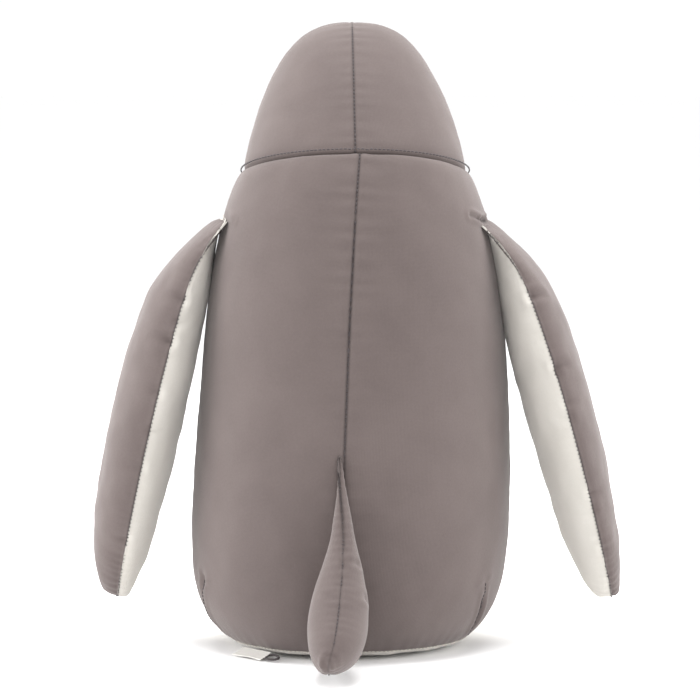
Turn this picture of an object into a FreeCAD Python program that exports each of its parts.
"""Stuffed penguin: sewn panels over fibre filling, with soft joints at the neck, flippers, tail and feet.

Millimetres. The penguin faces -Y, its left side is +X and +Z is up. The origin is on the surface that it
stands on, under the middle of its base. Each panel, filling, thread and moulded piece is one node.

A soft form is a list of oval sections, each (centre, half-axis, half-axis), joined by ruled walls. A panel is
the wall between two angles of the oval, and the filling is the oval inside the panels, so they meet exactly.
"""

import FreeCAD, Part
import math
import os

Vector = FreeCAD.Vector
SIDE, BACK, UP = Vector(1, 0, 0), Vector(0, 1, 0), Vector(0, 0, 1)

# ---------------------------------------------------------------- fabric and thread
SKIN = 1.2  # fabric with its seam allowance
THREAD = 0.8  # width of a line of stitches
PROUD = 0.5  # how far a dart's stitches stand out of the fabric
GAP = 0.5  # room between two pieces that move against each other

# ---------------------------------------------------------------- body
BODY_WIDTH = 203.0  # at the hips
BODY_DEPTH = 176.0
HIP_HEIGHT = 97.0  # where the body is widest
BASE_WIDTH = 154.0  # across the rim of the base panel
BASE_DEPTH = 134.0
FLOOR_WIDTH = 140.0  # the flat that it stands on
FLOOR_DEPTH = 122.0
RIM_HEIGHT = 5.0
SHOULDER_WIDTH = 165.0
SHOULDER_DEPTH = 142.0
SHOULDER_HEIGHT = 271.0
NECK_HEIGHT = 294.5  # middle of the neck ring
NECK_TILT = 15.0  # degrees: the ring is higher at the back
NECK_LIP = 1.0  # filling between the head's socket and the panels
BELLY_SHIFT = 3.0  # the middle of the body sits this far forward
SIDE_SEAM_ANGLE = 7.0  # in front of straight out to the side
DART_ANGLE = 18.0  # behind straight out to the side
DART_HEIGHT = 46.0
CLOSING_BOTTOM = 184.0  # the hand-closed stretch of the back seam
CLOSING_TOP = 258.0

# ---------------------------------------------------------------- head
HEAD_WIDTH = 142.0
HEAD_DEPTH = 123.2
HEAD_HEIGHT = 94.0  # above the ring, square to it
HEAD_TAPER = 1.2  # the dome's outline: higher keeps its width for longer
HEAD_BLUNTNESS = 0.4  # the dome's outline: lower makes its top flatter
CROWN_RADIUS = 3.0  # the flat at its top
NOD_HEIGHT = 10.0  # the nod's axis, above the ring
BALL_STEPS = 16  # rings of the ball that the head nods in
BALL_POLE = 3.0  # degrees: the ball ends in a small flat there
FACE_SEAM_Y = -13.0
BEAK_LENGTH = 32.0
BEAK_WIDTH = 30.0
BEAK_DEPTH = 20.0
BEAK_HEIGHT = 27.0  # above the ring
BEAK_DROOP = 3.0  # how far its tip lies under its root
EYE_DIAMETER = 9.0
EYE_SPACING = 52.0
EYE_HEIGHT = 42.0  # above the ring
EYE_SINK = 0.25  # how much of its radius the ball's middle lies under the fabric
SHANK_DIAMETER = 3.6
SHANK_LENGTH = 11.0
WASHER_DIAMETER = 13.0
WASHER_THICKNESS = 1.4
WASHER_DEPTH = 4.0  # under the fabric's face

# ---------------------------------------------------------------- flippers
FLIPPER_LENGTH = 247.0
FLIPPER_CHORD = 92.0
FLIPPER_THICKNESS = 45.0
FLIPPER_ANGLE = 16.2  # degrees from straight down, outwards
FLIPPER_ARCH = 7.5  # how far its middle line bows outwards
FLIPPER_ROOT_LENGTH = 56.0
FLIPPER_ROOT_RADIUS = 5.0
FLIPPER_DROP = 5.0  # its root hangs this far under the shoulder's height

# ---------------------------------------------------------------- tail
TAIL_TOP = 127.0
TAIL_BOTTOM = 4.0
TAIL_TIP_Y = 149.0
TAIL_WIDTH = 37.0

# ---------------------------------------------------------------- feet
FOOT_LENGTH = 58.0
FOOT_WIDTH = 50.0
FOOT_HEIGHT = 20.0
FOOT_SEAM_HEIGHT = 4.0
FOOT_SPACING = 80.0
FOOT_TUCK = 3.0  # how far its heel lies under the belly
FOOT_LEAN = 0.55  # how far its top lies forward, per height, clear of the belly
TOE_OUT = 20.0  # degrees

# ---------------------------------------------------------------- label
LABEL_WIDTH = 25.0
LABEL_DROP = 9.0
LABEL_THICKNESS = 0.8
LABEL_X = 56.0

FAR = 600.0  # longer than the penguin: used for cutting


# ================================================================ oval sections
def grown(sections, growth):
    """The sections with both half-axes longer; a negative growth makes them shorter."""
    return [(centre, a + unit(a) * growth, b + unit(b) * growth) for centre, a, b in sections]


def unit(vector):
    """The vector at length 1."""
    return vector * (1 / vector.Length)


def between(first, second, share):
    """A section on the ruled wall between two sections."""
    return tuple(one + (two - one) * share for one, two in zip(first, second))


def stretch(sections, bottom, top):
    """The part of a form whose section centres lie between two heights."""
    kept = []
    for first, second in zip(sections, sections[1:]):
        low, high = first[0].z, second[0].z
        for height in {bottom, top}:
            if low < height < high:
                kept.append(between(first, second, (height - low) / (high - low)))
    kept += [section for section in sections if bottom <= section[0].z <= top]
    return sorted(kept, key=lambda section: section[0].z)


def point_at(section, degrees):
    """The point of a section's oval at an angle from its first half-axis."""
    centre, a, b = section
    angle = math.radians(degrees)
    return centre + a * math.cos(angle) + b * math.sin(angle)


def arc(section, start, end):
    """The oval's edge between two angles."""
    centre, a, b = section
    if b.Length > a.Length:
        a, b, start, end = b, a * -1, start - 90, end - 90
    ellipse = Part.Ellipse(centre + a, centre + b, centre)
    low, high = min(start, end), max(start, end)
    return Part.ArcOfEllipse(ellipse, math.radians(low), math.radians(high)).toShape()


def ruled(wires):
    """A solid of straight walls from each wire to the next."""
    solid = Part.makeLoft(wires, True, True)
    if solid.Volume < 0:
        solid.reverse()
    return solid


def whole(sections):
    """The solid inside a form."""
    return ruled([Part.Wire([arc(s, 0, 180), arc(s, 180, 360)]) for s in sections])


def cup(outside, inside):
    """A wall with one closed end, where the inside form stops short."""
    return whole(outside).cut(whole(inside))


def panel(outside, inside, start, end):
    """The wall between two forms, from one angle to another."""
    wires = []
    for outer, inner in zip(outside, inside):
        sides = [Part.makeLine(point_at(outer, angle), point_at(inner, angle)) for angle in (end, start)]
        wires.append(Part.Wire([arc(outer, start, end), sides[0], arc(inner, start, end), sides[1]]))
    return ruled(wires)


def ring(outside, inside):
    """The wall between two forms, all round, as two halves."""
    return Part.makeCompound([panel(outside, inside, 0, 180), panel(outside, inside, 180, 360)])


def thread_angle(sections):
    """Half the angle that a line of stitches covers on a form's largest section."""
    reach = max(max(a.Length, b.Length) for _, a, b in sections)
    return math.degrees(THREAD / 2 / reach)


def box(low, high):
    """A box from its lowest to its highest corner."""
    return Part.makeBox(*(Vector(*high) - Vector(*low)), Vector(*low))


def mirrored(shape):
    """The same piece on the penguin's other side."""
    return shape.mirror(Vector(), SIDE)


def save(name, shape):
    """Writes one node."""
    whole_shape = shape.Solids[0] if len(shape.Solids) == 1 else Part.makeCompound(shape.Solids)
    whole_shape.exportStep(os.path.join("parts", name + ".step"))
    print(f"{name:26s} {shape.Volume:12.1f} {len(shape.Solids)} {shape.isValid()}")


def save_pair(name, shape):
    """Writes a left node and its mirror image."""
    save(name + "_left", shape)
    save(name + "_right", mirrored(shape))


# ================================================================ body
def body_sections():
    """The body's sections, from the floor to the neck ring."""
    neck_width = HEAD_WIDTH + 2 * (GAP + NECK_LIP + SKIN)
    neck_depth = HEAD_DEPTH + 2 * (GAP + NECK_LIP + SKIN)
    low, high = HIP_HEIGHT - RIM_HEIGHT, SHOULDER_HEIGHT - HIP_HEIGHT
    top = NECK_HEIGHT - SHOULDER_HEIGHT
    base, hip = (BASE_WIDTH, BASE_DEPTH), (BODY_WIDTH, BODY_DEPTH)
    shoulder, neck = (SHOULDER_WIDTH, SHOULDER_DEPTH), (neck_width, neck_depth)
    rows = [(0.0, (FLOOR_WIDTH, FLOOR_DEPTH), base, 0.0, 0.0), (RIM_HEIGHT, base, hip, 0.0, 0.0)]
    for up, share in ((0.115, 0.53), (0.315, 0.83), (0.62, 0.965), (1.0, 1.0)):
        rows.append((RIM_HEIGHT + low * up, base, hip, share, 0.0))
    for up, share, tilt in ((0.22, 0.07, 0.05), (0.45, 0.29, 0.2), (0.64, 0.52, 0.36), (0.83, 0.77, 0.58),
                            (1.0, 1.0, 0.8)):
        rows.append((HIP_HEIGHT + high * up, hip, shoulder, share, tilt))
    for up, share, tilt in ((0.38, 0.14, 0.88), (0.70, 0.38, 0.95), (0.90, 0.70, 0.99), (1.0, 1.0, 1.0)):
        rows.append((SHOULDER_HEIGHT + top * up, shoulder, neck, share, tilt))
    sections = []
    for height, start, end, share, tilt in rows:
        width, depth = (a + (b - a) * share for a, b in zip(start, end))
        angle = math.radians(NECK_TILT * tilt)
        along = Vector(0, math.cos(angle), math.sin(angle))
        sections.append((Vector(0, -BELLY_SHIFT, height), SIDE * (width / 2), along * (depth / 2)))
    return sections


def body_reach(height, degrees):
    """The point of the body's surface at a height and an angle."""
    return point_at(stretch(body_sections(), height, height)[0], degrees)


def make_body():
    """Panels, threads and filling of the body."""
    outer = body_sections()
    inner = grown(outer, -SKIN)
    half = thread_angle(outer)
    wall = RIM_HEIGHT + THREAD / 2
    above, under = stretch(outer, wall, FAR), stretch(inner, wall, FAR)
    left, right = -SIDE_SEAM_ANGLE, 180 + SIDE_SEAM_ANGLE

    save("body_back_left", panel(above, under, left + half, 90 - half))
    save("body_back_right", panel(above, under, 90 + half, right - half))
    save("belly_panel", panel(above, under, right + half, 360 + left - half))
    seams = [panel(above, under, angle - half, angle + half) for angle in (left, right)]
    save("side_seam_thread", Part.makeCompound(seams))

    bands = {"closing_stitch": [(CLOSING_BOTTOM, CLOSING_TOP)],
             "back_seam_thread": [(wall, CLOSING_BOTTOM), (CLOSING_TOP, NECK_HEIGHT)]}
    for name, spans in bands.items():
        pieces = [panel(stretch(outer, *span), stretch(inner, *span), 90 - half, 90 + half) for span in spans]
        save(name, Part.makeCompound(pieces))
    dart = stretch(outer, wall, DART_HEIGHT)
    save_pair("dart_thread", panel(grown(dart, PROUD), dart, DART_ANGLE - half, DART_ANGLE + half))

    low, high = RIM_HEIGHT - THREAD / 2, RIM_HEIGHT + THREAD / 2
    floor = [(Vector(centre.x, centre.y, SKIN), a, b) for centre, a, b in inner[:1]]
    save("base_panel", cup(stretch(outer, 0, low), floor + stretch(inner, low, low)))
    save("base_seam_thread", ring(stretch(outer, low, high), stretch(inner, low, high)))
    save("body_stuffing", whole(floor + inner[1:]).cut(whole(ball_sections(GAP))))


def make_neck_thread():
    """The stitches of the neck ring, on the body's lip."""
    a, b = SIDE * (HEAD_WIDTH / 2), BACK * (HEAD_DEPTH / 2)
    inside = on_ring(grown([(Vector(), a, b), (UP * THREAD, a, b)], GAP + NECK_LIP))
    save("neck_seam_thread", ring(grown(inside, THREAD), inside))


def make_label():
    """The folded label, sewn into the rim and lying down to the floor."""
    rim, rim_depth = BASE_WIDTH / 2, BASE_DEPTH / 2
    depth = rim_depth * math.sqrt(1 - (LABEL_X / rim) ** 2)
    outwards = math.degrees(math.atan2(depth / rim_depth**2, LABEL_X / rim**2))
    slope = math.degrees(math.asin((RIM_HEIGHT - LABEL_THICKNESS) / LABEL_DROP))
    label = Part.makeBox(LABEL_DROP, LABEL_WIDTH, LABEL_THICKNESS, Vector(0, -LABEL_WIDTH / 2, 0))
    label.rotate(Vector(), BACK, slope)
    label.translate(Vector(3 * GAP, 0, RIM_HEIGHT - LABEL_THICKNESS))
    label.rotate(Vector(), UP, outwards)
    label.translate(Vector(LABEL_X, depth - BELLY_SHIFT, 0))
    save("care_label", label)


# ================================================================ head
def to_ring(shape):
    """Puts a shape that is drawn on the neck ring, with the ring at z 0, into the penguin."""
    placed = shape.copy()
    placed.rotate(Vector(), SIDE, NECK_TILT)
    placed.translate(Vector(0, -BELLY_SHIFT, NECK_HEIGHT))
    return placed


def on_ring(sections):
    """Puts sections that are drawn on the neck ring into the penguin."""
    turn = FreeCAD.Rotation(SIDE, NECK_TILT)
    middle = Vector(0, -BELLY_SHIFT, NECK_HEIGHT)
    return [(middle + turn.multVec(c), turn.multVec(a), turn.multVec(b)) for c, a, b in sections]


def ball_sections(growth):
    """Sections of the ball that the head nods in, from the ring down: round about the nod's axis."""
    radius = math.hypot(HEAD_DEPTH / 2, NOD_HEIGHT)
    half_x = HEAD_WIDTH / 2 / math.sqrt(1 - (NOD_HEIGHT / radius) ** 2)
    radius, half_x = radius + growth, half_x + growth
    start = math.degrees(math.acos(NOD_HEIGHT / radius))
    sections = []
    for step in range(BALL_STEPS + 1):
        angle = math.radians(start + (BALL_POLE - start) * step / BALL_STEPS)
        centre = Vector(0, 0, NOD_HEIGHT - radius * math.cos(angle))
        sections.append((centre, SIDE * (half_x * math.sin(angle)), BACK * (radius * math.sin(angle))))
    return on_ring(sections)


def dome_size(share):
    """The head's width at a share of its height, as a share of its width at the ring."""
    return (1 - share**HEAD_TAPER) ** HEAD_BLUNTNESS


def dome_sections():
    """The head above the ring, in ring coordinates: a blunt cone."""
    sections = []
    for share in (0.0, 0.12, 0.26, 0.40, 0.54, 0.67, 0.78, 0.87, 0.94, 0.98, 1.0):
        size = max(dome_size(share), CROWN_RADIUS * 2 / HEAD_DEPTH)
        a, b = SIDE * (HEAD_WIDTH / 2 * size), BACK * (HEAD_DEPTH / 2 * size)
        sections.append((UP * (HEAD_HEIGHT * share), a, b))
    return sections


def lined(sections):
    """The same closed-topped form inside the fabric."""
    top = sections[-1][0].z
    inner = grown(sections, -SKIN)
    return [(centre * (1 - SKIN / top), a, b) for centre, a, b in inner]


def face_point(x, z):
    """(point, outward normal) on the face at x and at height z above the ring."""
    def depth(px, pz):
        size = dome_size(pz / HEAD_HEIGHT)
        return -HEAD_DEPTH / 2 * math.sqrt(size**2 - (px / (HEAD_WIDTH / 2)) ** 2)

    step = 0.5
    across = Vector(2 * step, depth(x + step, z) - depth(x - step, z), 0)
    upwards = Vector(0, depth(x, z + step) - depth(x, z - step), 2 * step)
    return Vector(x, depth(x, z), z), unit(across.cross(upwards))


def eye_pieces(point, normal):
    """(eye, washer, pocket) of one safety eye; the pocket is the room that it takes in the filling."""
    radius = EYE_DIAMETER / 2
    ball = Part.makeSphere(radius, Vector(0, 0, -radius * EYE_SINK))
    cap = ball.common(Part.makeBox(FAR, FAR, FAR, Vector(-FAR / 2, -FAR / 2, GAP)))
    shank = Part.makeCylinder(SHANK_DIAMETER / 2, SHANK_LENGTH + GAP, Vector(0, 0, -SHANK_LENGTH))
    washer = Part.makeCylinder(WASHER_DIAMETER / 2, WASHER_THICKNESS, Vector(0, 0, -WASHER_DEPTH))
    pocket = washer.fuse(shank)
    rotation = FreeCAD.Rotation(UP, normal)
    pieces = []
    for piece in (cap.fuse(shank), washer.cut(shank), pocket):
        piece.Placement = FreeCAD.Placement(point, rotation)
        pieces.append(piece)
    return pieces


def beak_sections():
    """The beak, from inside the face to its tip, in ring coordinates."""
    base = face_point(0, BEAK_HEIGHT)[0].y
    sections = []
    for share, size in ((-0.2, 1.0), (0.15, 0.96), (0.4, 0.80), (0.65, 0.58), (0.85, 0.36), (1.0, 0.14)):
        centre = Vector(0, base - BEAK_LENGTH * share, BEAK_HEIGHT - BEAK_DROOP * share)
        sections.append((centre, SIDE * (BEAK_WIDTH / 2 * size), UP * (BEAK_DEPTH / 2 * size)))
    return sections


def make_head():
    """Panels, threads and filling of the head, its eyes and its beak."""
    outer = dome_sections()
    inner = lined(outer)
    head = whole(outer)
    skin = head.cut(whole(inner))
    half = THREAD / 2
    front, back = FACE_SEAM_Y - half, FACE_SEAM_Y + half
    face = skin.common(box((-FAR, -FAR, 0), (FAR, front, FAR)))
    filling = whole(ball_sections(0.0)[::-1]).fuse(whole(on_ring(inner)))
    for side, sign in (("left", 1), ("right", -1)):
        eye, washer, pocket = eye_pieces(*face_point(sign * EYE_SPACING / 2, EYE_HEIGHT))
        face = face.cut(eye)
        filling = filling.cut(to_ring(pocket))
        save("eye_" + side, to_ring(eye))
        save("eye_washer_" + side, to_ring(washer))
    save("face_panel", to_ring(face))
    save("head_stuffing", filling)
    save("head_back_left", to_ring(skin.common(box((half, back, 0), (FAR, FAR, FAR)))))
    save("head_back_right", to_ring(skin.common(box((-FAR, back, 0), (-half, FAR, FAR)))))
    save("head_seam_thread", to_ring(skin.common(box((-half, back, 0), (half, FAR, FAR)))))
    save("face_seam_thread", to_ring(skin.common(box((-FAR, front, 0), (FAR, back, FAR)))))

    shape = beak_sections()
    core = grown(shape, -SKIN)
    save("beak_upper", to_ring(panel(shape, core, 0, 180).cut(head)))
    save("beak_lower", to_ring(panel(shape, core, 180, 360).cut(head)))
    save("beak_stuffing", to_ring(whole(core).cut(head)))


# ================================================================ flippers
def flipper_pivot():
    """The middle of the left flipper's hinge line, just outside the shoulder."""
    height = SHOULDER_HEIGHT - FLIPPER_DROP
    return Vector(body_reach(height, 0).x + FLIPPER_ROOT_RADIUS + GAP, 0, height)


def flipper_sections():
    """The left flipper's blade, from its root to its tip."""
    angle = math.radians(FLIPPER_ANGLE)
    down = Vector(math.sin(angle), 0, -math.cos(angle))
    out = Vector(math.cos(angle), 0, math.sin(angle))

    def middle(share):
        return flipper_pivot() + down * (FLIPPER_LENGTH * share) + out * (FLIPPER_ARCH * math.sin(
            math.pi * max(share, 0.0) ** 0.56))

    sections = []
    step = 0.01
    for share, thick, chord in ((0.025, 0.24, 0.61), (0.08, 0.40, 0.70), (0.16, 0.60, 0.81), (0.26, 0.80, 0.92),
                                (0.36, 0.93, 0.98), (0.47, 1.0, 1.0), (0.60, 0.97, 0.97), (0.72, 0.88, 0.89),
                                (0.82, 0.74, 0.77), (0.90, 0.57, 0.60), (0.96, 0.37, 0.40), (1.0, 0.12, 0.14)):
        after = min(share + step, 1.0)
        tangent = middle(after) - middle(after - 2 * step)
        across = unit(BACK.cross(tangent)) * -1
        a, b = BACK * (FLIPPER_CHORD / 2 * chord), across * (FLIPPER_THICKNESS / 2 * thick)
        sections.append((middle(share), a, b))
    return sections


def make_flippers():
    """Both flippers: rolled root, outer and inner panel, filling and edge seam."""
    outer = flipper_sections()
    inner = grown(outer, -SKIN)
    half = thread_angle(outer)
    start = flipper_pivot() - BACK * (FLIPPER_ROOT_LENGTH / 2)
    save_pair("flipper_root", Part.makeCylinder(FLIPPER_ROOT_RADIUS, FLIPPER_ROOT_LENGTH, start, BACK))
    save_pair("flipper_outer", panel(outer, inner, half, 180 - half))
    save_pair("flipper_inner", panel(outer, inner, 180 + half, 360 - half))
    seams = [panel(outer, inner, angle - half, angle + half) for angle in (0, 180)]
    save_pair("flipper_seam_thread", Part.makeCompound(seams))
    save_pair("flipper_stuffing", whole(inner))


# ================================================================ tail
def tail_sections():
    """The tail: level sections from its broad foot to its pointed top, clear of the back."""
    sections = []
    for up, back, wide in ((0.0, 0.66, 0.44), (0.05, 0.90, 0.74), (0.11, 1.0, 0.90), (0.20, 0.90, 1.0),
                           (0.32, 0.66, 0.97), (0.45, 0.46, 0.80), (0.60, 0.32, 0.56), (0.76, 0.21, 0.34),
                           (0.90, 0.13, 0.20), (1.0, 0.08, 0.12)):
        level = TAIL_BOTTOM + (TAIL_TOP - TAIL_BOTTOM) * up
        start = body_reach(level, 90).y + 3 * GAP
        end = start + (TAIL_TIP_Y - start) * back
        half_width = TAIL_WIDTH / 2 * wide
        sections.append((Vector(0, (start + end) / 2, level), BACK * ((end - start) / 2), SIDE * -half_width))
    return sections


def make_tail():
    """Tail panels, ridge seam and filling."""
    outer = tail_sections()
    inner = grown(outer, -SKIN)
    half = thread_angle(outer)
    save("tail_right", panel(outer, inner, half, 180 - half))
    save("tail_left", panel(outer, inner, 180 + half, 360 - half))
    save("tail_seam_thread", Part.makeCompound([panel(outer, inner, a - half, a + half) for a in (0, 180)]))
    save("tail_stuffing", whole(inner))


# ================================================================ feet
def foot_sections():
    """The left foot: level sections of a flat-bottomed pad, from the floor up."""
    angle = math.radians(TOE_OUT)
    forwards = Vector(math.sin(angle), -math.cos(angle), 0)
    across = Vector(math.cos(angle), math.sin(angle), 0)
    heel_angle = 360 - math.degrees(math.acos(FOOT_SPACING / BODY_WIDTH))
    heel = body_reach(FOOT_HEIGHT / 2, heel_angle)
    middle = Vector(FOOT_SPACING / 2, heel.y, 0) + forwards * (FOOT_LENGTH / 2 - FOOT_TUCK)
    sections = []
    for up, size in ((0.0, 0.84), (0.2, 0.97), (0.5, 1.0), (0.8, 0.80), (1.0, 0.36)):
        level = FOOT_HEIGHT * up
        centre = middle + UP * level + forwards * (level * FOOT_LEAN)
        sections.append((centre, forwards * (FOOT_LENGTH / 2 * size), across * (FOOT_WIDTH / 2 * size)))
    return sections


def make_feet():
    """Both feet: upper, sole, filling and edge seam."""
    outer = foot_sections()
    inner = grown(outer, -SKIN)
    inner[0] = (inner[0][0] + UP * SKIN, *inner[0][1:])
    inner[-1] = (inner[-1][0] - UP * SKIN, *inner[-1][1:])
    low, high = FOOT_SEAM_HEIGHT - THREAD / 2, FOOT_SEAM_HEIGHT + THREAD / 2
    save_pair("foot_sole", cup(stretch(outer, 0, low), stretch(inner, 0, low)))
    save_pair("foot_upper", cup(stretch(outer, high, FAR), stretch(inner, high, FAR)))
    save_pair("foot_seam_thread", ring(stretch(outer, low, high), stretch(inner, low, high)))
    save_pair("foot_stuffing", whole(inner))


os.makedirs("parts", exist_ok=True)
make_body()
make_neck_thread()
make_label()
make_head()
make_flippers()
make_tail()
make_feet()
